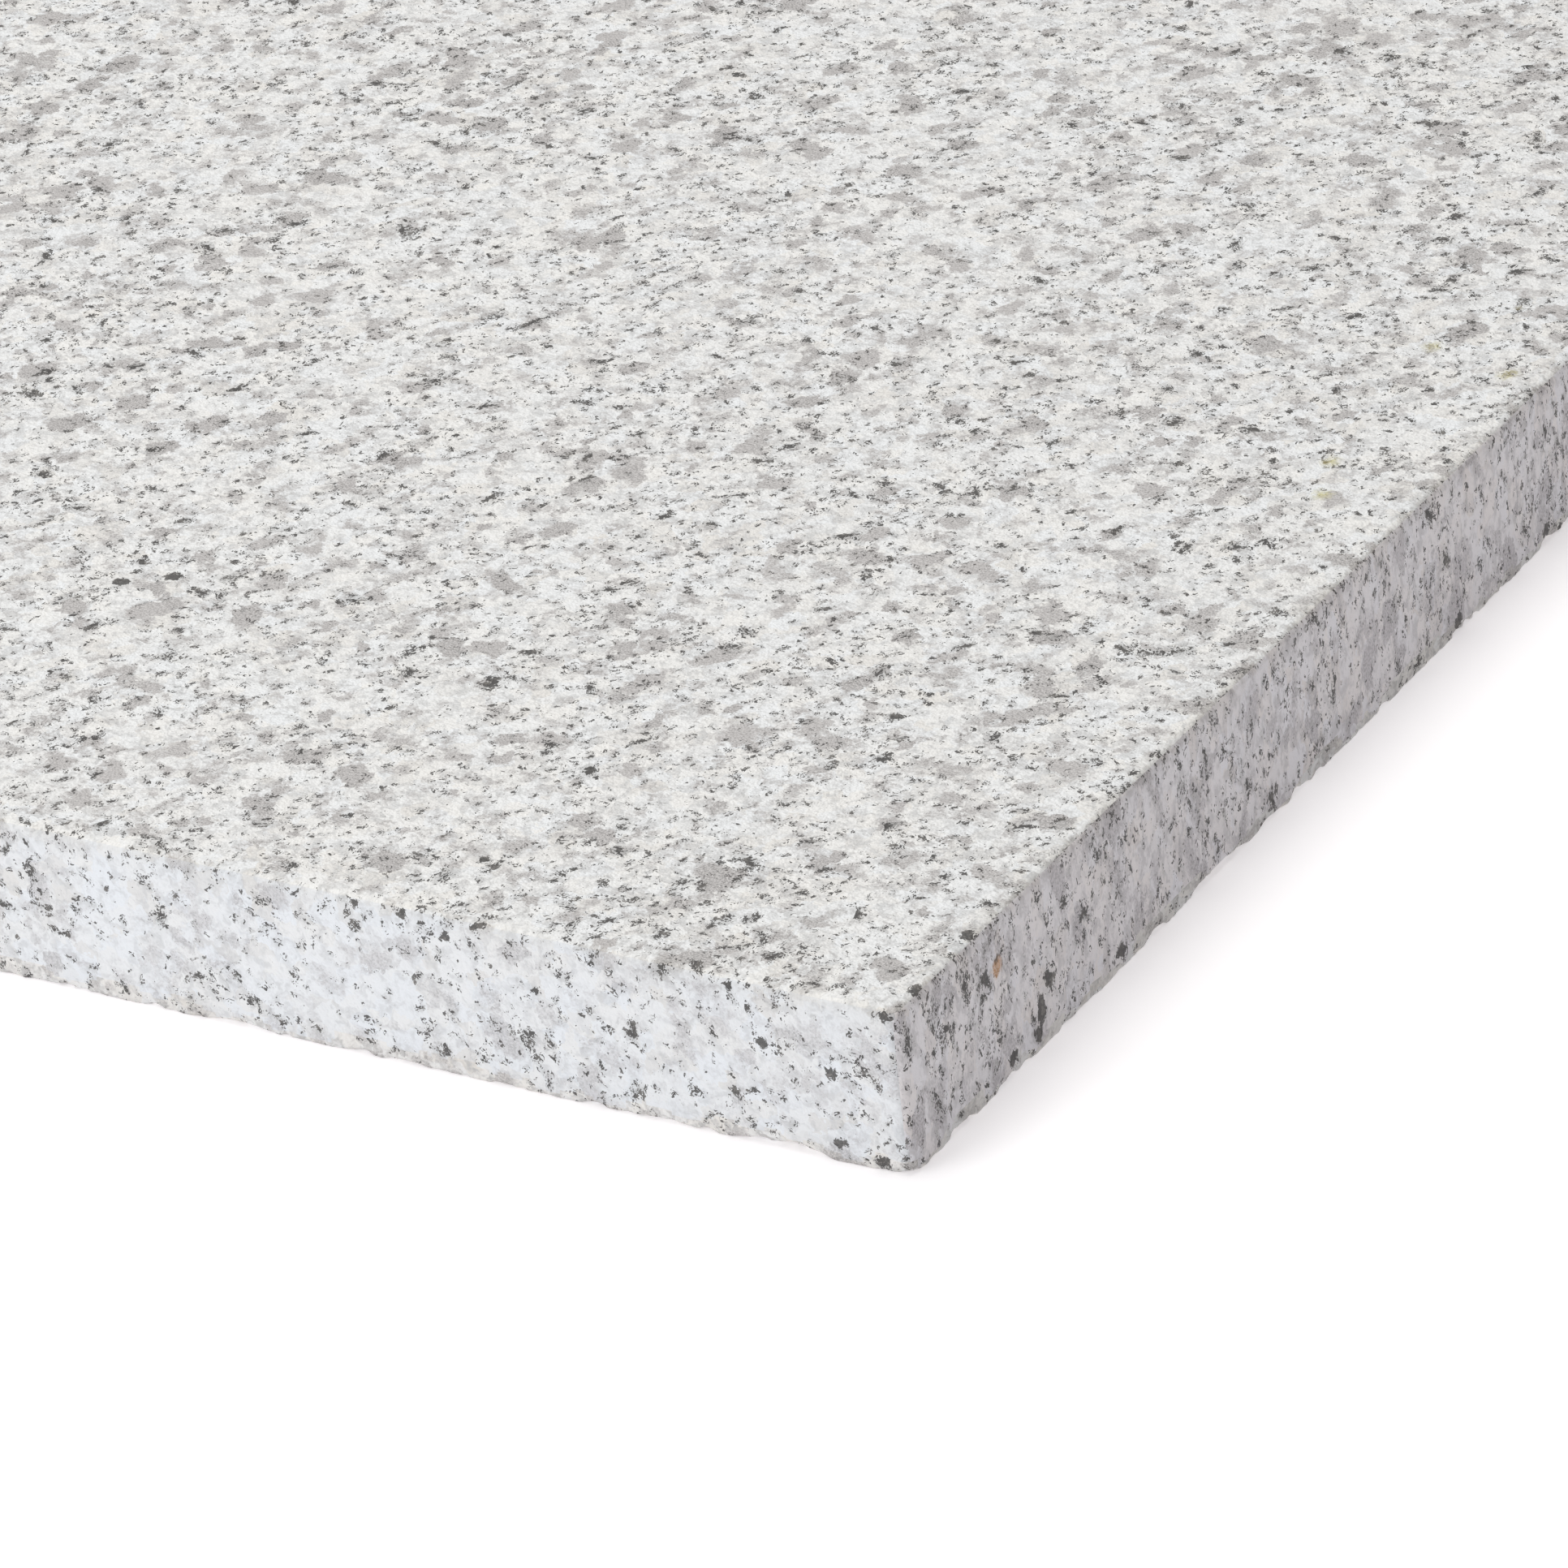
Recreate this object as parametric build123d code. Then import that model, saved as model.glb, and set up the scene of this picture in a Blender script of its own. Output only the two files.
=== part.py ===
from build123d import *
from math import cos, radians, sin
from random import Random
import os

# Granite paving slab, 600 x 400 x 30 mm. One piece of stone, sawn from a block.
# It lies flat with its bed on the ground: origin in the middle of the bed, Z up.

# Overall sizes of the sawn slab.
slab_length = 600.0
slab_width = 400.0
slab_thickness = 30.0

# Arrises that are eased with a rubbing stone so that they don't cut or chip.
upright_corner_radius = 2.0
top_arris_radius = 1.5

# Lower arris. It is left as the saw broke it, so shell-shaped flakes have come away all along it.
flake_spacing = 12.5
flake_wander = 0.34
flake_curve_least = 10.0
flake_curve_most = 24.0
flake_bite_least = 0.45
flake_bite_most = 1.75
flake_slope_least = 36.0
flake_slope_most = 58.0

# Lower corners, where two broken arrises meet and a larger piece is lost.
corner_break_curve = 9.0
corner_break_bite = 2.6

flake_pattern = 11


def sawn_slab():
    """The sawn block with its dressed arrises, before any stone is lost below."""
    block = Box(slab_length, slab_width, slab_thickness, align=(Align.CENTER, Align.CENTER, Align.MIN))
    block = fillet(block.edges().filter_by(Axis.Z), upright_corner_radius)
    top_face = block.faces().sort_by(Axis.Z)[-1]
    return fillet(top_face.edges(), top_arris_radius)


def flakes_along(edge_length, chance):
    """Hollows of one lower arris that runs along X at the origin, with the stone on its +Y side."""
    count = max(3, round(edge_length / flake_spacing))
    pitch = edge_length / count
    flakes = []
    for step in range(count):
        along = (step + 0.5 + chance.uniform(-flake_wander, flake_wander)) * pitch - edge_length / 2
        curve = chance.uniform(flake_curve_least, flake_curve_most)
        bite = flake_bite_least + (flake_bite_most - flake_bite_least) * chance.random() ** 1.6
        slope = radians(chance.uniform(flake_slope_least, flake_slope_most))
        reach = curve - bite
        flakes.append(Pos(along, -reach * cos(slope), -reach * sin(slope)) * Sphere(curve))
    return flakes


def lower_flakes():
    """Hollows of all four lower arrises, each laid out along its own side of the bed."""
    chance = Random(flake_pattern)
    flakes = []
    for turn in range(4):
        across, run = (slab_width, slab_length) if turn % 2 == 0 else (slab_length, slab_width)
        side = Rot(0, 0, 90 * turn) * Pos(0, -across / 2, 0)
        flakes += [side * flake for flake in flakes_along(run, chance)]
    return flakes


def corner_breaks():
    """Hollows at the four lower corners."""
    reach = (corner_break_curve - corner_break_bite) / 3**0.5
    breaks = []
    for x_side in (-1, 1):
        for y_side in (-1, 1):
            x = x_side * (slab_length / 2 + reach)
            y = y_side * (slab_width / 2 + reach)
            breaks.append(Pos(x, y, -reach) * Sphere(corner_break_curve))
    return breaks


paving_slab = sawn_slab() - (lower_flakes() + corner_breaks())

os.makedirs("parts", exist_ok=True)
export_step(paving_slab, "parts/paving_slab.step")
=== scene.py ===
from math import pi, radians
import bmesh
import bpy
from mathutils import Euler, Matrix, Vector


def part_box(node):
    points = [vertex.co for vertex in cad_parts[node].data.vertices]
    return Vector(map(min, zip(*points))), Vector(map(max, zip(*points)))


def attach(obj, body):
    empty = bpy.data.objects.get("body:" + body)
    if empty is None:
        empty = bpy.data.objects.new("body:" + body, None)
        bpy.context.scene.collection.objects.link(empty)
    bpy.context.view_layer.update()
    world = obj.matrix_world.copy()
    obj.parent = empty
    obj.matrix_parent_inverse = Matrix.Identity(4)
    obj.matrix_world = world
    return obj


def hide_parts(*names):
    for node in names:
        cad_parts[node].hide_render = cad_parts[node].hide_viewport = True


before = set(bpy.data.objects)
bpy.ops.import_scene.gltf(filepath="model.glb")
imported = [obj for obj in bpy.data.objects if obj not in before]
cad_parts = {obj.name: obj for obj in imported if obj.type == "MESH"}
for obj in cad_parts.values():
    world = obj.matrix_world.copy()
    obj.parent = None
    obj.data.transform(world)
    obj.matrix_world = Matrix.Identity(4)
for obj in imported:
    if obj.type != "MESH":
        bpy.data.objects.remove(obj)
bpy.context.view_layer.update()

# ---------------------------------------------------------------------------------------------
# Granite, the stone the slab is sawn from. It grew as interlocking grains: white feldspar, grey
# glassy quartz between it, and black mica in ragged flakes that gather along the grain edges.
# The grains run right through the slab, so one recipe in depth colours every face of it.
# ---------------------------------------------------------------------------------------------


def place(tree, kind, feeds=None, **settings):
    """Puts one node in a tree, sets what it is, and feeds its sockets with links or values."""
    made = tree.nodes.new(kind)
    for setting, value in settings.items():
        setattr(made, setting, value)
    for socket, value in (feeds or {}).items():
        if isinstance(value, bpy.types.NodeSocket):
            tree.links.new(value, made.inputs[socket])
        else:
            made.inputs[socket].default_value = value
    return made


def sum_of(tree, operation, *terms, clamp=False):
    """One step of arithmetic on numbers that change over the stone."""
    feeds = dict(enumerate(terms))
    made = place(tree, "ShaderNodeMath", feeds, operation=operation, use_clamp=clamp)
    return made.outputs["Value"]


def plus(tree, first, second):
    return sum_of(tree, "ADD", first, second)


def minus(tree, first, second, clamp=False):
    return sum_of(tree, "SUBTRACT", first, second, clamp=clamp)


def times(tree, first, second, clamp=False):
    return sum_of(tree, "MULTIPLY", first, second, clamp=clamp)


def over(tree, first, second):
    return sum_of(tree, "DIVIDE", first, second)


def larger(tree, first, second, clamp=False):
    return sum_of(tree, "MAXIMUM", first, second, clamp=clamp)


def is_above(tree, value, limit):
    return sum_of(tree, "GREATER_THAN", value, limit)


def is_below(tree, value, limit):
    return sum_of(tree, "LESS_THAN", value, limit)


def unsigned(tree, value):
    return sum_of(tree, "ABSOLUTE", value)


def vector_of(tree, operation, *terms, output="Vector"):
    """One step of arithmetic on vectors."""
    made = place(tree, "ShaderNodeVectorMath", dict(enumerate(terms)), operation=operation)
    return made.outputs[output]


def scaled(tree, vector, scale):
    made = place(tree, "ShaderNodeVectorMath", {0: vector, "Scale": scale}, operation="SCALE")
    return made.outputs["Vector"]


def moved(tree, vector, step):
    return vector_of(tree, "ADD", vector, step)


def centred(tree, colour):
    """A random colour turned into a push that is as often one way as the other."""
    return vector_of(tree, "SUBTRACT", colour, (0.5, 0.5, 0.5))


def ramp_of(tree, value, low, high, to_low=0.0, to_high=1.0):
    """A soft step: to_low below low, to_high above high."""
    feeds = {"Value": value, "From Min": low, "From Max": high, "To Min": to_low, "To Max": to_high}
    made = place(tree, "ShaderNodeMapRange", feeds, interpolation_type="SMOOTHSTEP")
    return made.outputs["Result"]


def cloud_of(tree, where, lump_mm, detail=2.0, rough=0.5, output="Fac"):
    """Smooth random clouds whose lumps are about lump_mm across."""
    feeds = {"Vector": where, "Scale": 1.0 / lump_mm, "Detail": detail, "Roughness": rough}
    return place(tree, "ShaderNodeTexNoise", feeds).outputs[output]


def cells_of(tree, where, cell_mm):
    """Packed grains about cell_mm across: each one's colour, middle and distance from it."""
    feeds = {"Vector": where, "Scale": 1.0 / cell_mm}
    return place(tree, "ShaderNodeTexVoronoi", feeds, feature="F1").outputs


def shares_of(tree, colour):
    """The red, green and blue of a colour, as three random numbers."""
    return place(tree, "ShaderNodeSeparateColor", {"Color": colour}).outputs


def blend_of(tree, share, first, second, mode="MIX"):
    """Two colours mixed by a share that changes over the surface."""
    made = place(tree, "ShaderNodeMix", {"Factor": share}, data_type="RGBA", blend_type=mode)
    for socket, colour in (("A", first), ("B", second)):
        at = [s for s in made.inputs if s.name == socket and s.type == "RGBA"][0]
        if isinstance(colour, bpy.types.NodeSocket):
            tree.links.new(colour, at)
        else:
            at.default_value = (*colour, 1.0)
    return [s for s in made.outputs if s.type == "RGBA"][0]


def plate_of(tree, where, room_mm, thick_mm, wide_mm, share, soft):
    """Flat crystals, one to each room_mm of stone and there by chance, each at its own tilt.

    Gives the crystal, 1 in its middle and 0 outside it, the place stretched along its tilt,
    and a random shade.
    """
    cell = cells_of(tree, where, room_mm)
    tilt = vector_of(tree, "NORMALIZE", centred(tree, cell["Color"]))
    offset = vector_of(tree, "SUBTRACT", where, cell["Position"])
    through = vector_of(tree, "DOT_PRODUCT", offset, tilt, output="Value")
    across = vector_of(tree, "LENGTH", offset, output="Value")
    feeds = {"Vector": cell["Position"]}
    chance = place(tree, "ShaderNodeTexWhiteNoise", feeds, noise_dimensions="3D").outputs
    shade = shares_of(tree, chance["Color"])
    size = plus(tree, 0.5, times(tree, shade["Blue"], 0.7))
    there = is_below(tree, chance["Value"], share)
    core = 1.0 - soft
    depth = over(tree, unsigned(tree, through), size)
    thin = ramp_of(tree, depth, thick_mm * core, thick_mm, 1.0, 0.0)
    rim = ramp_of(tree, over(tree, across, size), wide_mm * core, wide_mm, 1.0, 0.0)
    body = times(tree, times(tree, thin, rim), there)
    shred = moved(tree, where, scaled(tree, tilt, times(tree, through, 1.8)))
    return body, shred, shade["Green"]


def spot_of(tree, where, reach, middles, soft):
    """A mark round each given middle, reaching so far along each axis, in millimetres."""
    shrink = tuple(1.0 / r for r in reach)
    small = vector_of(tree, "MULTIPLY", where, shrink)
    nearest = None
    for middle in middles:
        aim = tuple(m * k for m, k in zip(middle, shrink))
        away = vector_of(tree, "DISTANCE", small, aim, output="Value")
        nearest = away if nearest is None else sum_of(tree, "MINIMUM", nearest, away)
    return ramp_of(tree, nearest, soft, 1.0, 1.0, 0.0)


mm_per_metre = 1000.0
# Colours of the minerals, as the shares of red, green and blue light that they give back.
cool_feldspar, warm_feldspar = (0.785, 0.805, 0.825), (0.805, 0.80, 0.785)
creamy_feldspar, dull_feldspar = (0.70, 0.68, 0.65), (0.54, 0.545, 0.55)
clear_quartz, milky_quartz = (0.57, 0.57, 0.57), (0.60, 0.60, 0.60)
quartz_speck = (0.32, 0.32, 0.32)
black_mica, grey_mica = (0.016, 0.015, 0.015), (0.09, 0.085, 0.08)
bronze_mica, stone_by_mica = (0.20, 0.187, 0.172), (0.38, 0.38, 0.375)
arris_dirt = (0.89, 0.87, 0.84)
# The larger lumps of mica on the faces round one corner: how far each kind reaches along the
# length, width and thickness, and the middles of its lumps, all in millimetres.
mica_lumps = (
    ((1.4, 2.0, 1.1), (
        (286.9, -200.0, 16.5), (287.4, -200.0, 3.6), (274.4, -200.0, 19.2), (297.6, -200.0, 28.8),
        (294.9, -200.0, 1.6))),
    ((1.0, 1.5, 1.0), (
        (268.6, -200.0, 8.9), (199.4, -200.0, 28.5), (208.5, -200.0, 28.6), (216.4, -200.0, 26.2),
        (222.7, -200.0, 29.3), (212.0, -199.0, 30.0))),
    ((1.6, 1.6, 1.3), (
        (298.4, -174.4, 30.0), (299.2, -192.2, 30.0), (102.5, -122.8, 30.0),
        (110.0, -118.0, 30.0))),
    ((2.0, 1.5, 1.6), (
        (300.0, -158.6, 3.2), (300.0, -173.1, 21.3), (300.0, -131.4, 3.4), (300.0, -167.1, 3.2),
        (300.0, 23.1, 2.6), (300.0, -10.5, 2.2))),
    ((2.0, 1.3, 3.4), ((300.0, -157.3, 7.2),)),
)
# Stains: colour, strength, where the soft edge starts, reach and middles.
stains = (
    ((0.57, 0.53, 0.25), 0.85, 0.0, (2.8, 2.8, 1.0), (
        (282.6, -23.7, 30.0), (278.3, -12.4, 30.0), (275.0, 32.2, 30.0), (292.4, 27.0, 30.0))),
    ((0.20, 0.165, 0.075), 0.9, 0.3, (1.3, 1.3, 1.0), (
        (282.7, 50.6, 30.0), (277.6, -12.6, 30.0), (274.4, 32.0, 30.0), (292.4, 27.2, 30.0))),
    ((0.52, 0.27, 0.11), 0.95, 0.4, (2.0, 2.1, 2.2), ((300.0, -169.6, 21.6),)),
    ((0.09, 0.055, 0.03), 0.95, 0.5, (2.0, 1.0, 1.2), ((300.0, -169.2, 23.2),)),
)


def granite_group():
    """The stone's grains and colours at any place in it, given in millimetres."""
    tree = bpy.data.node_groups.new("granite_grains", "ShaderNodeTree")
    face = tree.interface
    face.new_socket("Place", in_out="INPUT", socket_type="NodeSocketVector")
    run = face.new_socket("Run", in_out="INPUT", socket_type="NodeSocketVector")
    run.default_value = (1.0, 1.0, 1.0)
    starts = {"Quartz depth": 1.0, "Quartz edge": 0.5, "Mica share": 0.5, "Cloud depth": 1.0}
    for name, start in starts.items():
        share = face.new_socket(name, in_out="INPUT", socket_type="NodeSocketFloat")
        share.default_value = start
    for name in ("Feldspar tint", "Quartz tint"):
        tint = face.new_socket(name, in_out="INPUT", socket_type="NodeSocketColor")
        tint.default_value = (1.0, 1.0, 1.0, 1.0)
    face.new_socket("Colour", in_out="OUTPUT", socket_type="NodeSocketColor")
    for name in ("Quartz", "Cloud"):
        face.new_socket(name, in_out="OUTPUT", socket_type="NodeSocketFloat")
    given = tree.nodes.new("NodeGroupInput").outputs
    where = vector_of(tree, "MULTIPLY", given["Place"], given["Run"])

    # Every grain edge wanders, so the clean cells of the recipe are pushed about first: push is
    # smooth over millimetres, crumb jumps from one crumb of stone to the next.
    push = cloud_of(tree, where, lump_mm=2.4, detail=2.0, rough=0.6, output="Color")
    push = centred(tree, push)
    bent = moved(tree, where, scaled(tree, push, 4.0))
    crumb_mm = 0.42
    crumb_place = vector_of(tree, "SNAP", bent, (crumb_mm, crumb_mm, crumb_mm))
    crumb = place(tree, "ShaderNodeTexWhiteNoise", {"Vector": crumb_place}, noise_dimensions="3D")
    crumb = centred(tree, crumb.outputs["Color"])
    torn = moved(tree, where, scaled(tree, push, 1.0))
    torn = moved(tree, torn, scaled(tree, crumb, 0.75))

    # Feldspar: white, each grain a shade cooler, creamier or duller than the next.
    grain = shares_of(tree, cells_of(tree, bent, cell_mm=4.2)["Color"])
    cloudy = cloud_of(tree, bent, lump_mm=2.2, detail=2.0, rough=0.64)
    fine = cloud_of(tree, where, lump_mm=0.36, detail=2.0, rough=0.7)
    stone = blend_of(tree, grain["Red"], cool_feldspar, warm_feldspar)
    creamy = ramp_of(tree, grain["Green"], 0.74, 1.0, 0.0, 0.6)
    stone = blend_of(tree, creamy, stone, creamy_feldspar)
    dull = times(tree, ramp_of(tree, cloudy, 0.44, 0.68), given["Cloud depth"])
    stone = blend_of(tree, dull, stone, dull_feldspar)
    # Each face's feldspar tint is partly the colour of its finish and partly painted light: warm on
    # the top, cool and dimmer on the long sides, lilac on the ends.
    stone = blend_of(tree, 1.0, stone, given["Feldspar tint"], "MULTIPLY")

    # Quartz: soft-edged grey grains filled with fine darker specks.
    feathered = moved(tree, bent, scaled(tree, crumb, 0.5))
    grey_plate, _, grey_shade = plate_of(
        tree, feathered, room_mm=8.6, thick_mm=3.0, wide_mm=4.4, share=0.6, soft=0.55)
    drift = cloud_of(tree, feathered, lump_mm=5.2, detail=3.0, rough=0.67)
    quartz = plus(tree, drift, times(tree, grey_plate, 0.24))
    level, edge = 0.585, given["Quartz edge"]
    quartz = ramp_of(tree, quartz, minus(tree, level, edge), plus(tree, level, edge))
    speck = ramp_of(tree, fine, 0.38, 0.60, 1.0, 0.0)
    grey = blend_of(tree, speck, clear_quartz, quartz_speck)
    grey = blend_of(tree, times(tree, grey_shade, 0.4), grey, milky_quartz)
    # Each face's quartz tint is partly the colour of its finish and partly painted light, as for
    # the feldspar.
    grey = blend_of(tree, 1.0, grey, given["Quartz tint"], "MULTIPLY")
    stone = blend_of(tree, times(tree, quartz, given["Quartz depth"], clamp=True), stone, grey)

    # Mica: ragged black slivers, crumbs and nests of shards, thicker in some parts of the stone
    # than in others. The wider nests have a solid core.
    crowd = cloud_of(tree, where, lump_mm=12.0, detail=1.0, rough=0.55)
    crowd = ramp_of(tree, crowd, 0.34, 0.66, 0.35, 1.0)
    crowd = times(tree, crowd, given["Mica share"])
    sliver, _, _ = plate_of(
        tree, torn, room_mm=1.5, thick_mm=0.23, wide_mm=0.72,
        share=times(tree, crowd, 0.5), soft=0.25)
    near, near_shred, _ = plate_of(
        tree, torn, room_mm=2.9, thick_mm=0.95, wide_mm=1.5,
        share=times(tree, crowd, 0.75), soft=0.9)
    wide, wide_shred, _ = plate_of(
        tree, torn, room_mm=6.4, thick_mm=1.6, wide_mm=3.2,
        share=times(tree, crowd, 0.6), soft=0.9)
    core = ramp_of(tree, wide, 0.82, 0.92)
    nest = larger(tree, near, wide)
    along = place(tree, "ShaderNodeMix", {4: near_shred, 5: wide_shred}, data_type="VECTOR")
    tree.links.new(is_above(tree, wide, near), along.inputs[0])
    shard = shares_of(tree, cells_of(tree, along.outputs[1], cell_mm=1.3)["Color"])
    shards = ramp_of(tree, plus(tree, shard["Red"], times(tree, nest, 0.5)), 0.93, 0.97)
    shards = times(tree, shards, is_above(tree, nest, 0.015))
    mica = larger(tree, larger(tree, sliver, core), shards, clamp=True)
    torn_place = moved(tree, given["Place"], scaled(tree, push, 2.4))
    torn_place = moved(tree, torn_place, scaled(tree, crumb, 0.7))
    for reach, middles in mica_lumps:
        mica = larger(tree, mica, spot_of(tree, torn_place, reach, middles, 0.85))
    dark = blend_of(tree, fine, black_mica, grey_mica)
    bronze = ramp_of(tree, shard["Green"], 0.55, 0.95, 0.0, 0.6)
    dark = blend_of(tree, bronze, dark, bronze_mica)
    stone = blend_of(tree, times(tree, nest, 0.5), stone, stone_by_mica)
    stone = blend_of(tree, times(tree, mica, 0.92), stone, dark)

    # Stains: a rust streak on one end and a few yellow spots on the wearing face.
    for colour, strength, soft, reach, middles in stains:
        stained = spot_of(tree, torn_place, reach, middles, soft)
        patchy = ramp_of(tree, cloudy, 0.3, 0.7, strength * 0.6, strength)
        stone = blend_of(tree, times(tree, stained, patchy), stone, colour)

    done = tree.nodes.new("NodeGroupOutput")
    for name, value in (("Colour", stone), ("Quartz", quartz), ("Cloud", drift)):
        tree.links.new(value, done.inputs[name])
    return tree


granite = granite_group()


def finish_of(name, roughness, bump_mm, tooth_mm, run=(1.0, 1.0, 1.0), **looks):
    """One finish of the stone: the shared grains, with this face's own tooth, dullness and tints;
    the tints are partly painted light.
    """
    made = bpy.data.materials.new(name)
    made.use_nodes = True
    tree = made.node_tree
    tree.nodes.clear()
    spot = place(tree, "ShaderNodeTexCoord").outputs["Object"]
    where = scaled(tree, spot, mm_per_metre)
    grains = tree.nodes.new("ShaderNodeGroup")
    grains.node_tree = granite
    tree.links.new(where, grains.inputs["Place"])
    grains.inputs["Run"].default_value = run
    for look, value in looks.items():
        grains.inputs[look.replace("_", " ").capitalize()].default_value = value
    # The rubbed arris is a little browner where the cloudy parts of the stone hold dirt.
    rubbed = place(tree, "ShaderNodeAttribute", attribute_name="rubbed").outputs["Fac"]
    dirt = times(tree, rubbed, ramp_of(tree, grains.outputs["Cloud"], 0.35, 0.6, 0.3, 1.0))
    colour = blend_of(tree, dirt, grains.outputs["Colour"], arris_dirt, "MULTIPLY")
    tooth = cloud_of(tree, where, tooth_mm, detail=1.0, rough=0.65)
    feeds = {"Strength": 1.0, "Distance": bump_mm / mm_per_metre, "Height": tooth}
    bump = place(tree, "ShaderNodeBump", feeds).outputs["Normal"]
    shine = minus(tree, roughness, times(tree, grains.outputs["Quartz"], 0.12))
    feeds = {"Base Color": colour, "Roughness": shine, "Normal": bump}
    surface = place(tree, "ShaderNodeBsdfPrincipled", feeds)
    surface.inputs["Specular IOR Level"].default_value = 0.3
    place(tree, "ShaderNodeOutputMaterial", {"Surface": surface.outputs["BSDF"]})
    return made


# Painted light in part: the top's tints are a little warm, standing for the warm overhead light as
# well as the fine face's own colour.
fine_face_and_painted_warm_light = finish_of(
    "granite_fine_face", roughness=0.62, bump_mm=0.3, tooth_mm=0.8,
    quartz_depth=1.0, quartz_edge=0.08, mica_share=1.35, cloud_depth=0.7,
    feldspar_tint=(0.99, 0.985, 0.97, 1.0), quartz_tint=(0.975, 0.945, 0.925, 1.0))
# Painted light in part: the long sawn side's tints are cooler and about a tenth darker than the
# top's, set to how this side looks under the cool left lamp, not only to its sawn finish.
sawn_side_and_painted_cool_light = finish_of(
    "granite_sawn_side_and_painted_cool_light", roughness=0.66, bump_mm=0.12, tooth_mm=0.6,
    quartz_depth=0.72, quartz_edge=0.1, mica_share=1.0, cloud_depth=0.5,
    feldspar_tint=(0.89, 0.90, 0.915, 1.0), quartz_tint=(0.96, 0.945, 0.965, 1.0))
# Painted light in part: the sawn end's tints are lilac, standing for the lilac cast on this shaded
# end; its extra mica and stretched grain are the stone's own.
sawn_end_and_painted_lilac_light = finish_of(
    "granite_sawn_end", roughness=0.66, bump_mm=0.12, tooth_mm=0.6, run=(1.0, 1.15, 0.7),
    quartz_depth=0.9, quartz_edge=0.08, mica_share=1.8, cloud_depth=0.7,
    feldspar_tint=(0.95, 0.915, 0.93, 1.0), quartz_tint=(0.97, 0.93, 0.965, 1.0))
broken_face = finish_of(
    "granite_broken_arris", roughness=0.72, bump_mm=0.4, tooth_mm=1.1,
    quartz_depth=0.85, quartz_edge=0.08, mica_share=1.0, cloud_depth=1.0,
    feldspar_tint=(0.91, 0.89, 0.865, 1.0), quartz_tint=(0.95, 0.91, 0.89, 1.0))
sawn_bed = finish_of(
    "granite_sawn_bed", roughness=0.7, bump_mm=0.15, tooth_mm=0.6,
    quartz_depth=0.75, quartz_edge=0.1, mica_share=1.0, cloud_depth=0.5,
    feldspar_tint=(0.96, 0.955, 0.95, 1.0), quartz_tint=(0.98, 0.96, 0.98, 1.0))


# ---------------------------------------------------------------------------------------------
# The slab: one piece of granite cut from the block with a diamond saw. Its upper arris and
# upright corners are rubbed round with a stone. The lower arris is left as it broke, with
# shell-shaped flakes gone from it.
# ---------------------------------------------------------------------------------------------

slab_sizes = {
    "Upright corner": 0.002,
    "Upper arris": 0.0015,
    "Face margin": 0.007,
    "Broken zone": 0.005,
    "Station pitch": 0.00078,
    "Side pitch": 0.0034,
    "Fine pitch": 0.00085,
    "Face pitch": 0.0055,
    "Chip size": 0.0034,
    "Chip depth": 0.0007,
    "Nick depth": 0.0005,
    "Saw wander": 0.00008,
    "Face wander": 0.00022,
    "Tooth depth": 0.00022,
}
slab_seed = 3.0
section_corners = 6


def keep(tree, geometry, name, value, kind="FLOAT"):
    """Stores a number or vector at every point of the geometry under a name."""
    feeds = {"Geometry": geometry, "Name": name, "Value": value}
    made = place(tree, "GeometryNodeStoreNamedAttribute", feeds, data_type=kind, domain="POINT")
    return made.outputs["Geometry"]


def kept(tree, name, kind="FLOAT"):
    """Reads what was stored under a name."""
    made = place(tree, "GeometryNodeInputNamedAttribute", {"Name": name}, data_type=kind)
    return made.outputs["Attribute"]


def spot_in(tree):
    """The place of each point."""
    return place(tree, "GeometryNodeInputPosition").outputs[0]


def parts_of(tree, vector):
    """The three numbers of a vector."""
    return place(tree, "ShaderNodeSeparateXYZ", {0: vector}).outputs


def vector_from(tree, x=0.0, y=0.0, z=0.0):
    return place(tree, "ShaderNodeCombineXYZ", {0: x, 1: y, 2: z}).outputs[0]


def length_of(tree, x, y):
    """Distance of a point from the corner that x and y are measured from."""
    return vector_of(tree, "LENGTH", vector_from(tree, x, y), output="Value")


def pick(tree, choice, if_not, if_so):
    feeds = {"Switch": choice, "False": if_not, "True": if_so}
    return place(tree, "GeometryNodeSwitch", feeds, input_type="FLOAT").outputs[0]


def is_number(tree, value, number):
    feeds = {"A": value, "B": number}
    made = place(tree, "FunctionNodeCompare", feeds, data_type="INT", operation="EQUAL")
    return made.outputs[0]


def shifted(tree, geometry, **feeds):
    """The geometry with each point put at a Position or moved by an Offset."""
    return place(tree, "GeometryNodeSetPosition", {"Geometry": geometry, **feeds}).outputs[0]


def rounded(tree, curve, radius, count):
    feeds = {"Curve": curve, "Radius": radius, "Count": count, "Limit Radius": True}
    return place(tree, "GeometryNodeFilletCurve", feeds, mode="POLY").outputs[0]


def stepped(tree, curve, pitch):
    """The curve with points added, so that they are at most about a pitch apart."""
    here = spot_in(tree)
    number = place(tree, "GeometryNodeInputIndex").outputs[0]
    feeds = {"Point Index": number, "Offset": 1}
    ahead = place(tree, "GeometryNodeOffsetPointInCurve", feeds).outputs["Point Index"]
    feeds = {"Index": ahead, "Value": here}
    made = place(
        tree, "GeometryNodeFieldAtIndex", feeds, data_type="FLOAT_VECTOR", domain="POINT")
    gap = vector_of(tree, "DISTANCE", here, made.outputs[0], output="Value")
    cuts = sum_of(tree, "FLOOR", over(tree, gap, pitch))
    return place(tree, "GeometryNodeSubdivideCurve", {"Curve": curve, "Cuts": cuts}).outputs[0]


def together(tree, parts):
    made = place(tree, "GeometryNodeJoinGeometry")
    for part in parts:
        tree.links.new(part, made.inputs[0])
    return made.outputs[0]


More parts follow.
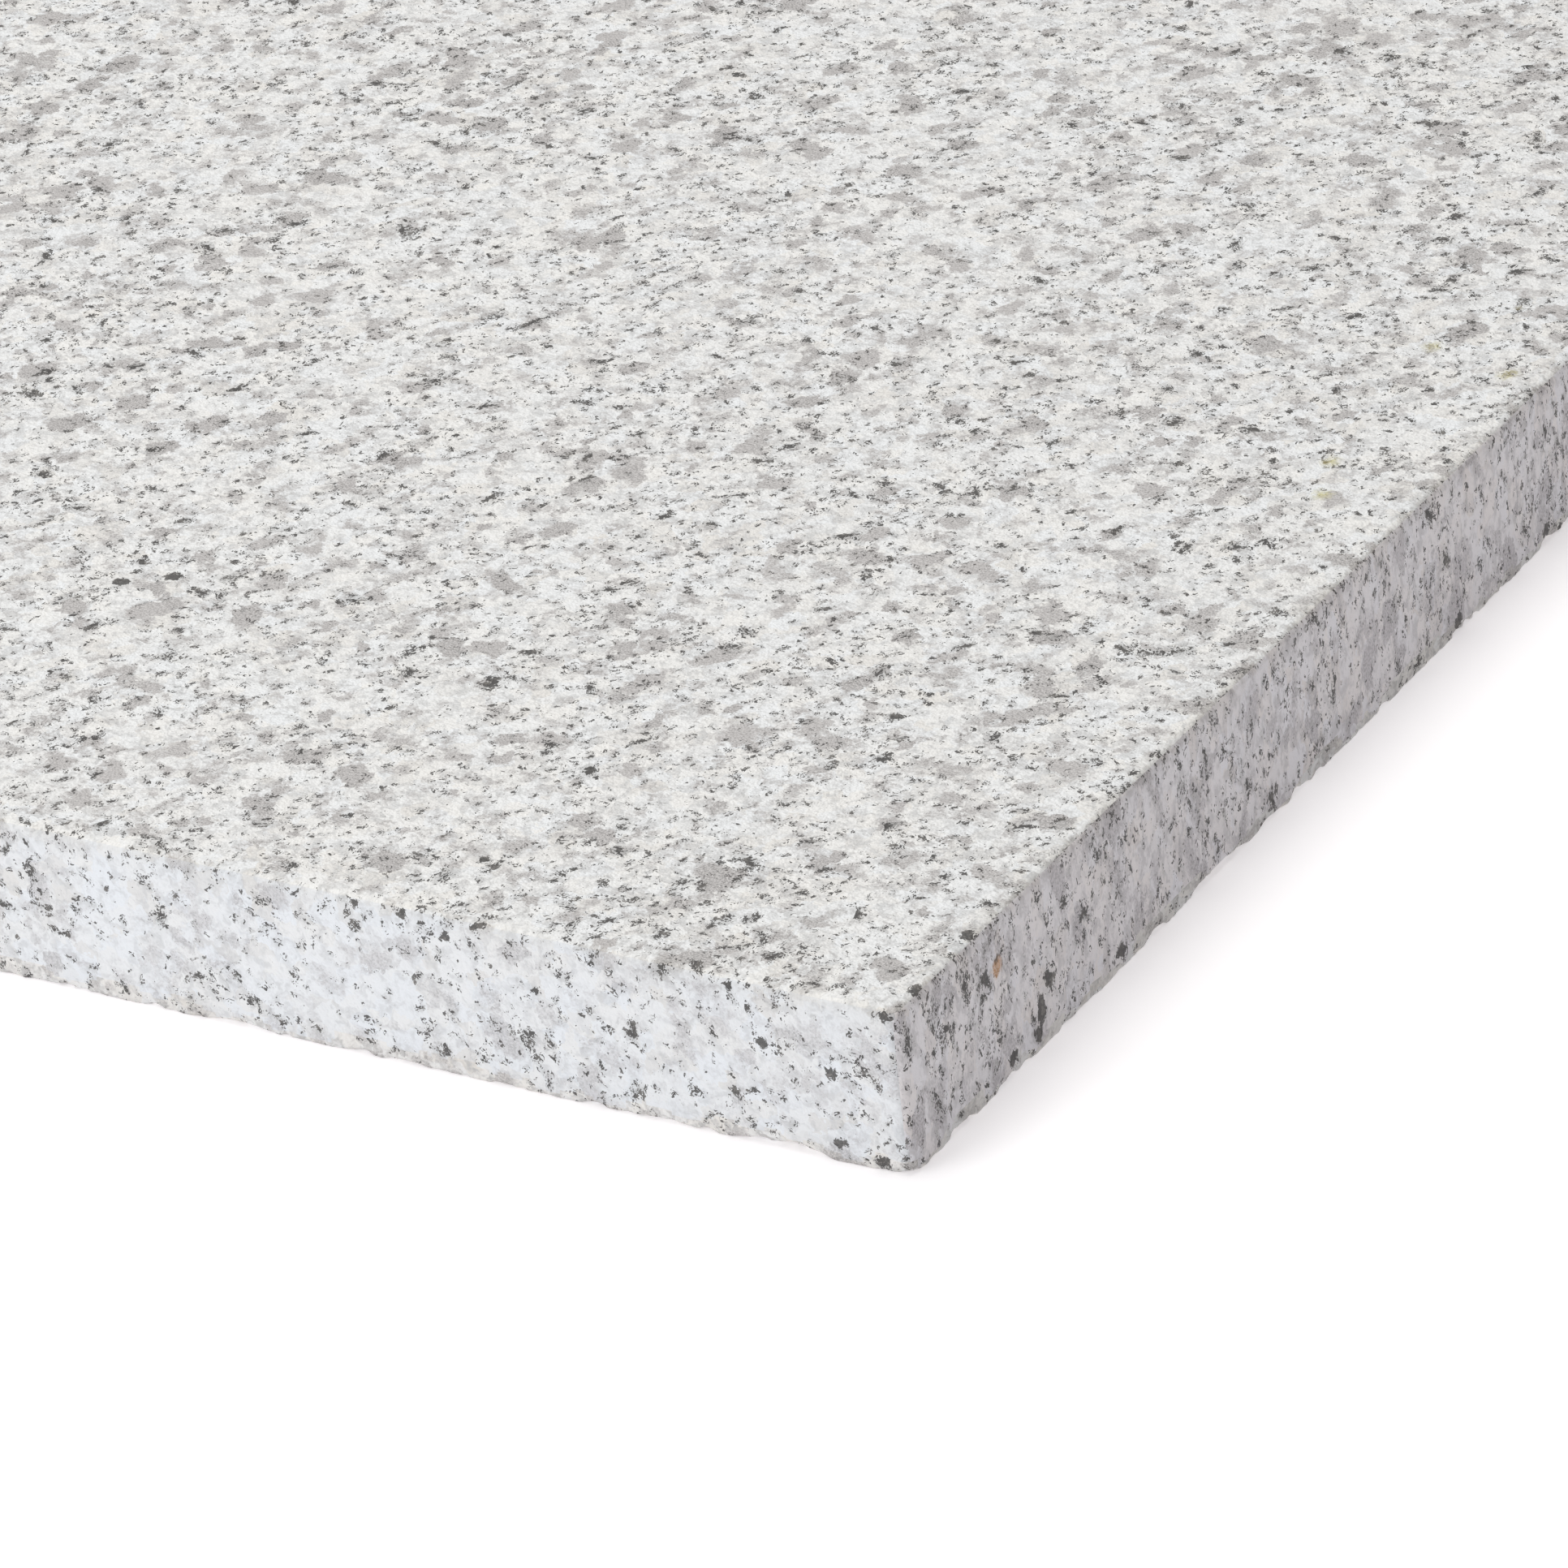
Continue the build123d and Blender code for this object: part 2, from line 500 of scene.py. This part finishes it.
def welded(tree, geometry):
    """Points that lie within 0.02 mm of each other made one."""
    feeds = {"Geometry": geometry, "Distance": 0.00002}
    return place(tree, "GeometryNodeMergeByDistance", feeds).outputs[0]


def slab_tree(side_finish, rules_of):
    """The slab as a closed mesh, pressed in where the lower arris of the sawn slab is broken."""
    tree = bpy.data.node_groups.new("slab_with_broken_lower_arris", "GeometryNodeTree")
    face = tree.interface
    face.new_socket("Sawn slab", in_out="INPUT", socket_type="NodeSocketGeometry")
    for name in ("Length", "Width", "Thickness", *slab_sizes, "Seed"):
        face.new_socket(name, in_out="INPUT", socket_type="NodeSocketFloat")
    face.new_socket("Slab", in_out="OUTPUT", socket_type="NodeSocketGeometry")
    given = tree.nodes.new("NodeGroupInput").outputs
    length, width, thick = given["Length"], given["Width"], given["Thickness"]
    corner, arris = given["Upright corner"], given["Upper arris"]
    margin, zone = given["Face margin"], given["Broken zone"]
    half = vector_from(tree, times(tree, length, 0.5), times(tree, width, 0.5))

    # Way round the slab, with a point at every station.
    feeds = {"Width": length, "Height": width}
    outline = place(tree, "GeometryNodeCurvePrimitiveQuadrilateral", feeds).outputs[0]
    outline = rounded(tree, outline, corner, count=6)
    outline = stepped(tree, outline, given["Station pitch"])
    outline = keep(tree, outline, "station", spot_in(tree), "FLOAT_VECTOR")

    # Section of the rim: in from the top face, over the arris, down the side, round to the bed.
    section = place(
        tree, "GeometryNodeMeshLine", {"Count": section_corners}, mode="OFFSET").outputs[0]
    number = place(tree, "GeometryNodeInputIndex").outputs[0]
    choose = place(tree, "GeometryNodeIndexSwitch", {"Index": number}, data_type="VECTOR")
    while len(choose.index_switch_items) < section_corners:
        choose.index_switch_items.new()
    corners = (
        (margin, thick), (0.0, thick), (0.0, zone), (0.0, 0.0), (zone, 0.0), (margin, 0.0))
    for i, (inset, height) in enumerate(corners):
        tree.links.new(vector_from(tree, inset, height), choose.inputs[i + 1])
    section = shifted(tree, section, Position=choose.outputs[0])
    section = place(tree, "GeometryNodeMeshToCurve", {"Mesh": section}).outputs[0]
    upper_corner = is_number(tree, number, 1)
    section = rounded(tree, section, times(tree, upper_corner, arris), count=4)
    is_low = is_below(tree, parts_of(tree, spot_in(tree))[1], plus(tree, zone, 0.0001))
    pitch = pick(tree, is_low, given["Side pitch"], given["Fine pitch"])
    section = stepped(tree, section, pitch)
    spot = parts_of(tree, spot_in(tree))
    section = keep(tree, section, "inset", spot[0])
    section = keep(tree, section, "height", spot[1])

    # The rim itself: each point of the section carried round every station.
    feeds = {"Curve": outline, "Profile Curve": section}
    rim = place(tree, "GeometryNodeCurveToMesh", feeds).outputs[0]
    station = kept(tree, "station", "FLOAT_VECTOR")
    inset, height = kept(tree, "inset"), kept(tree, "height")

    def within(reach):
        """The station, held at least reach inside the outline."""
        room = vector_of(tree, "SUBTRACT", half, vector_from(tree, reach, reach))
        held = vector_of(tree, "MINIMUM", station, room)
        return vector_of(tree, "MAXIMUM", held, scaled(tree, room, -1.0))

    def share_left(reach, used):
        """How much of a reach is left, from 1 where none is used to 0 where all is."""
        return over(tree, larger(tree, minus(tree, reach, used), 0.0), reach)

    away = vector_of(tree, "NORMALIZE", vector_of(tree, "SUBTRACT", station, within(corner)))
    rest = larger(tree, minus(tree, corner, inset), 0.0)
    spot = moved(tree, within(larger(tree, inset, corner)), scaled(tree, away, rest))
    spot = moved(tree, spot, vector_from(tree, 0.0, 0.0, height))
    top_band = minus(tree, thick, arris)
    is_high = is_above(tree, height, top_band)
    outward = pick(tree, is_high, share_left(zone, inset), share_left(arris, inset))
    up = over(tree, larger(tree, minus(tree, height, top_band), 0.0), arris)
    upward = minus(tree, up, share_left(zone, height))
    facing = moved(tree, scaled(tree, away, outward), vector_from(tree, 0.0, 0.0, upward))
    facing = vector_of(tree, "NORMALIZE", facing)
    rim = keep(tree, rim, "facing", facing, "FLOAT_VECTOR")
    rim = welded(tree, shifted(tree, rim, Position=spot))

    # Top and bed inside the rim: an even net of squares, with a ring of triangles to the rim.
    faces_round = place(tree, "GeometryNodeInputMeshEdgeNeighbors").outputs[0]
    lip = is_number(tree, faces_round, 1)
    middle = times(tree, thick, 0.5)
    shell = [rim]
    for level, sign in ((thick, 1.0), (0.0, -1.0)):
        inner = times(tree, plus(tree, margin, given["Face pitch"]), 2.0)
        feeds = {}
        for axis, across in (("X", minus(tree, length, inner)), ("Y", minus(tree, width, inner))):
            squares = sum_of(tree, "ROUND", over(tree, across, given["Face pitch"]))
            feeds["Size " + axis] = across
            feeds["Vertices " + axis] = plus(tree, squares, 1.0)
        net = place(tree, "GeometryNodeMeshGrid", feeds).outputs["Mesh"]
        above = is_above(tree, parts_of(tree, spot_in(tree))[2], middle)
        side = sum_of(tree, "COMPARE", above, 1.0 if sign > 0 else 0.0, 0.1)
        feeds = {0: lip, 1: side}
        chosen = place(tree, "FunctionNodeBooleanMath", feeds, operation="AND").outputs[0]
        feeds = {"Mesh": rim, "Selection": chosen}
        rim_loop = place(tree, "GeometryNodeMeshToCurve", feeds).outputs[0]
        feeds = {"Mesh": net, "Selection": lip}
        net_loop = place(tree, "GeometryNodeMeshToCurve", feeds).outputs[0]
        feeds = {"Curve": together(tree, (rim_loop, net_loop))}
        ring = place(tree, "GeometryNodeFillCurve", feeds, mode="TRIANGLES").outputs[0]
        flat = together(tree, (ring, net))
        if sign < 0:
            flat = place(tree, "GeometryNodeFlipFaces", {"Mesh": flat}).outputs[0]
        feeds = {"Geometry": flat, "Translation": vector_from(tree, 0.0, 0.0, level)}
        flat = place(tree, "GeometryNodeTransform", feeds).outputs[0]
        flat = keep(tree, flat, "facing", (0.0, 0.0, sign), "FLOAT_VECTOR")
        flat = keep(tree, flat, "inset", margin)
        flat = keep(tree, flat, "height", level)
        shell.append(flat)
    stone = welded(tree, together(tree, shell))

    # Flakes: each point near the lower arris is pressed in until it meets the sawn slab, which
    # has the flakes cut out of it, less in the calm stretches where the stone broke cleanly.
    facing = kept(tree, "facing", "FLOAT_VECTOR")
    here = spot_in(tree)
    stand_off, skin = 0.003, 0.00004
    ray = place(tree, "GeometryNodeRaycast", {
        "Target Geometry": given["Sawn slab"],
        "Source Position": moved(tree, here, scaled(tree, facing, stand_off)),
        "Ray Direction": scaled(tree, facing, -1.0),
        "Ray Length": 4 * stand_off}).outputs
    deep = larger(tree, minus(tree, ray["Hit Distance"], stand_off + skin), 0.0)
    from_edge = length_of(tree, inset, height)
    is_near = is_below(tree, from_edge, times(tree, zone, 1.35))
    deep = times(tree, deep, times(tree, is_near, ray["Is Hit"]))
    here_mm = scaled(tree, here, mm_per_metre)
    calm = cloud_of(tree, here_mm, lump_mm=21.0, detail=1.0, rough=0.5)
    calm = ramp_of(tree, calm, 0.44, 0.56, 0.1, 1.0)
    long_side = unsigned(tree, parts_of(tree, away)[1])
    calm = times(tree, calm, minus(tree, 1.0, times(tree, long_side, 0.35)))
    deep = times(tree, deep, calm)
    stone = keep(tree, stone, "flaked", deep)
    stone = shifted(tree, stone, Offset=scaled(tree, facing, times(tree, deep, -1.0)))

    # Chips and tooth: small hollows with sharp rims where the stone broke, nicks on the rubbed
    # arris, and the slight wander of the sawn faces. All of it goes inwards.
    mm = scaled(tree, here, mm_per_metre)
    mm = moved(tree, mm, vector_from(tree, given["Seed"], 0.0, 0.0))
    chip_mm = times(tree, given["Chip size"], mm_per_metre)
    feeds = {"Vector": mm, "Scale": over(tree, 1.0, chip_mm)}
    chips = place(tree, "ShaderNodeTexVoronoi", feeds, feature="F1").outputs
    bowl = sum_of(tree, "POWER", over(tree, chips["Distance"], 0.8), 2.0)
    hollow = minus(tree, 1.0, bowl, clamp=True)
    fate = place(tree, "FunctionNodeSeparateColor", {0: chips["Color"]}).outputs[0]
    hollow = times(tree, hollow, ramp_of(tree, fate, 0.2, 0.9, 0.15, 1.0))
    lumps = cloud_of(tree, mm, lump_mm=2.4, detail=3.0, rough=0.6)
    wide = cloud_of(tree, mm, lump_mm=9.0, detail=1.0, rough=0.5)
    reach = times(tree, zone, ramp_of(tree, wide, 0.35, 0.65, 0.25, 0.95))
    ragged = plus(tree, from_edge, times(tree, minus(tree, lumps, 0.5), 0.003))
    near = minus(tree, 1.0, over(tree, ragged, reach), clamp=True)
    broken = larger(tree, near, ramp_of(tree, kept(tree, "flaked"), 0.0, 0.0005))
    tooth = cloud_of(tree, mm, lump_mm=1.3, detail=3.0, rough=0.6)
    loss = times(tree, times(tree, near, hollow), given["Chip depth"])
    loss = plus(tree, loss, times(tree, broken, times(tree, tooth, given["Tooth depth"])))
    from_top = length_of(tree, inset, minus(tree, thick, height))
    rubbed = ramp_of(tree, from_top, 0.0, times(tree, arris, 1.6), 1.0, 0.0)
    nick = cloud_of(tree, mm, lump_mm=3.0, detail=3.0, rough=0.6)
    nick = ramp_of(tree, nick, 0.5, 0.75)
    loss = plus(tree, loss, times(tree, times(tree, rubbed, nick), given["Nick depth"]))
    wander = cloud_of(tree, mm, lump_mm=14.0, detail=2.0, rough=0.5)
    wander = times(tree, wander, given["Saw wander"])
    swell = cloud_of(tree, mm, lump_mm=26.0, detail=3.0, rough=0.55)
    swell = times(tree, swell, given["Face wander"])
    is_top = is_above(tree, parts_of(tree, facing)[2], 0.9)
    loss = plus(tree, loss, pick(tree, is_top, wander, swell))
    stone = keep(tree, stone, "broken", broken)
    stone = keep(tree, stone, "rubbed", rubbed)
    stone = shifted(tree, stone, Offset=scaled(tree, facing, times(tree, loss, -1.0)))

    # Each face takes the finish of the tool that made it, and the top, the long sides and the ends
    # carry painted light in their tints.
    feeds = {"Geometry": stone, "Material": side_finish}
    stone = place(tree, "GeometryNodeSetMaterial", feeds).outputs[0]
    for rule, finish in rules_of(tree):
        feeds = {"Geometry": stone, "Selection": rule, "Material": finish}
        stone = place(tree, "GeometryNodeSetMaterial", feeds).outputs[0]
    stone = place(tree, "GeometryNodeRealizeInstances", {"Geometry": stone}).outputs[0]
    feeds = {"Geometry": stone, "Shade Smooth": True}
    stone = place(tree, "GeometryNodeSetShadeSmooth", feeds).outputs[0]
    end = tree.nodes.new("NodeGroupOutput")
    tree.links.new(stone, end.inputs["Slab"])
    return tree


def finish_rules(tree):
    """Where each finish goes, a later one over an earlier one: ends, top, bed, broken stone."""
    looks = parts_of(tree, kept(tree, "facing", "FLOAT_VECTOR"))
    return (
        (is_above(tree, unsigned(tree, looks[0]), 0.6), sawn_end_and_painted_lilac_light),
        (is_above(tree, looks[2], 0.72), fine_face_and_painted_warm_light),
        (is_below(tree, looks[2], -0.95), sawn_bed),
        (is_above(tree, kept(tree, "broken"), 0.3), broken_face),
    )


# The sawn slab that the points are pressed against: a merged copy of the CAD solid.
low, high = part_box("paving_slab")
sawn_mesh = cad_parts["paving_slab"].data.copy()
joined = bmesh.new()
joined.from_mesh(sawn_mesh)
bmesh.ops.remove_doubles(joined, verts=joined.verts, dist=0.000001)
joined.to_mesh(sawn_mesh)
joined.free()
sawn = bpy.data.objects.new("sawn_slab", sawn_mesh)
bpy.context.scene.collection.objects.link(sawn)

dresser = sawn.modifiers.new("dressing", "NODES")
dresser.node_group = slab_tree(sawn_side_and_painted_cool_light, finish_rules)
extent = high - low
sizes = {
    "Length": extent.x, "Width": extent.y, "Thickness": extent.z, "Seed": slab_seed, **slab_sizes}
for socket in dresser.node_group.interface.items_tree:
    if socket.in_out == "INPUT" and socket.name in sizes:
        dresser[socket.identifier] = sizes[socket.name]
seen = bpy.context.evaluated_depsgraph_get()
slab_mesh = bpy.data.meshes.new_from_object(sawn.evaluated_get(seen))
bpy.data.objects.remove(sawn)
if slab_mesh.materials[0] is None:
    slab_mesh.materials.pop(index=0)

# Colours are laid flat on one square sheet of 1024 parts, the wearing face and the four sides
# at full size and the bed at half. Each entry: its middle on the sheet, the ways right and up,
# and its parts to a metre.
sheet = slab_mesh.uv_layers.new(name="OFBake")
sheet_parts = 1024.0
sheet_places = {
    "top": ((458.5, 717.0), (1, 0, 0), (0, 1, 0), 1515.0),
    "bed": ((229.0, 154.0), (1, 0, 0), (0, -1, 0), 750.0),
    "front": ((458.5, 382.7), (1, 0, 0), (0, 0, 1), 1515.0),
    "back": ((458.5, 331.7), (-1, 0, 0), (0, 0, 1), 1515.0),
    "right": ((941.7, 717.0), (0, 0, -1), (0, 1, 0), 1515.0),
    "left": ((992.7, 717.0), (0, 0, 1), (0, 1, 0), 1515.0),
}
slab_middle = (low + high) / 2
aims = slab_mesh.attributes["facing"].data
for side in slab_mesh.polygons:
    aim = sum((Vector(aims[v].vector) for v in side.vertices), Vector())
    if abs(aim.z) > max(abs(aim.x), abs(aim.y)):
        spread = "top" if aim.z > 0 else "bed"
    elif abs(aim.y) > abs(aim.x):
        spread = "back" if aim.y > 0 else "front"
    else:
        spread = "right" if aim.x > 0 else "left"
    middle, right, up, scale = sheet_places[spread]
    for corner, point in zip(side.loop_indices, side.vertices):
        at = slab_mesh.vertices[point].co - slab_middle
        flat = (middle[0] + at.dot(right) * scale, middle[1] + at.dot(up) * scale)
        sheet.data[corner].uv = (flat[0] / sheet_parts, flat[1] / sheet_parts)

slab = bpy.data.objects.new("granite_slab", slab_mesh)
bpy.context.scene.collection.objects.link(slab)
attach(slab, "root")
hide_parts("paving_slab")


# ---------------------------------------------------------------------------------------------
# The studio: a pale floor, soft light from above and from the left, and the camera.
# ---------------------------------------------------------------------------------------------

floor_mesh = bpy.data.meshes.new("studio_floor")
floor_half = 6.0
corners = [(-1, -1), (1, -1), (1, 1), (-1, 1)]
floor_mesh.from_pydata(
    [(x * floor_half, y * floor_half, 0.0) for x, y in corners], [], [(0, 1, 2, 3)])
floor = bpy.data.objects.new("studio_floor", floor_mesh)
bpy.context.scene.collection.objects.link(floor)
pale = bpy.data.materials.new("pale_floor")
pale.use_nodes = True
paint = pale.node_tree.nodes["Principled BSDF"].inputs
paint["Base Color"].default_value = (0.75, 0.75, 0.75, 1.0)
paint["Roughness"].default_value = 0.9
paint["Emission Color"].default_value = (1.0, 0.96, 0.98, 1.0)
paint["Emission Strength"].default_value = 0.4
floor_mesh.materials.append(pale)

# The room behind the floor looks as pale as the floor's far end, and lights the slab less.
world = bpy.data.worlds.new("studio")
bpy.context.scene.world = world
world.use_nodes = True
room = world.node_tree
room_colour = (1.0, 0.985, 1.0, 1.0)
room_light = room.nodes["Background"]
room_light.inputs["Color"].default_value = room_colour
room_light.inputs["Strength"].default_value = 0.23
room_seen = place(room, "ShaderNodeBackground", {"Color": room_colour, "Strength": 0.6})
is_seen = place(room, "ShaderNodeLightPath").outputs["Is Camera Ray"]
walls = place(room, "ShaderNodeMixShader", {
    0: is_seen, 1: room_light.outputs["Background"], 2: room_seen.outputs["Background"]})
room.links.new(walls.outputs["Shader"], room.nodes["World Output"].inputs["Surface"])


def softbox(name, place_at, aim, size, power, colour):
    """A soft lamp that hangs at one point and looks at another. Power is in watts."""
    lamp = bpy.data.lights.new(name, "AREA")
    lamp.shape = "RECTANGLE"
    lamp.size, lamp.size_y = size
    lamp.energy = power
    lamp.color = colour
    holder = bpy.data.objects.new(name, lamp)
    holder.location = place_at
    look = Vector(aim) - Vector(place_at)
    holder.rotation_euler = look.to_track_quat("-Z", "Y").to_euler()
    bpy.context.scene.collection.objects.link(holder)


softbox(
    "overhead_softbox", place_at=(-0.3, 0.2, 2.4), aim=(0.0, 0.0, 0.0), size=(2.4, 2.4),
    power=55.0, colour=(1.0, 0.99, 0.975))
softbox(
    "left_softbox", place_at=(-1.2, -2.2, 1.0), aim=(0.1, -0.1, 0.0), size=(1.8, 1.6),
    power=41.0, colour=(0.97, 0.985, 1.0))

# The camera has a long lens. It looks down at one corner and is tipped a little to one side.
camera_data = bpy.data.cameras.new("camera")
camera_data.lens = 213.45
camera_data.sensor_width = 36.0
camera_data.clip_start = 0.01
camera = bpy.data.objects.new("camera", camera_data)
camera_place = (0.9721, -1.2405, 0.7608)
azimuth, elevation, roll = radians(33.477), radians(29.055), radians(-6.290)
turn = Euler((pi / 2 - elevation, 0.0, azimuth)).to_matrix() @ Matrix.Rotation(roll, 3, "Z")
camera.matrix_world = Matrix.Translation(camera_place) @ turn.to_4x4()
bpy.context.scene.collection.objects.link(camera)
bpy.context.scene.camera = camera
bpy.context.scene.view_settings.view_transform = "Standard"
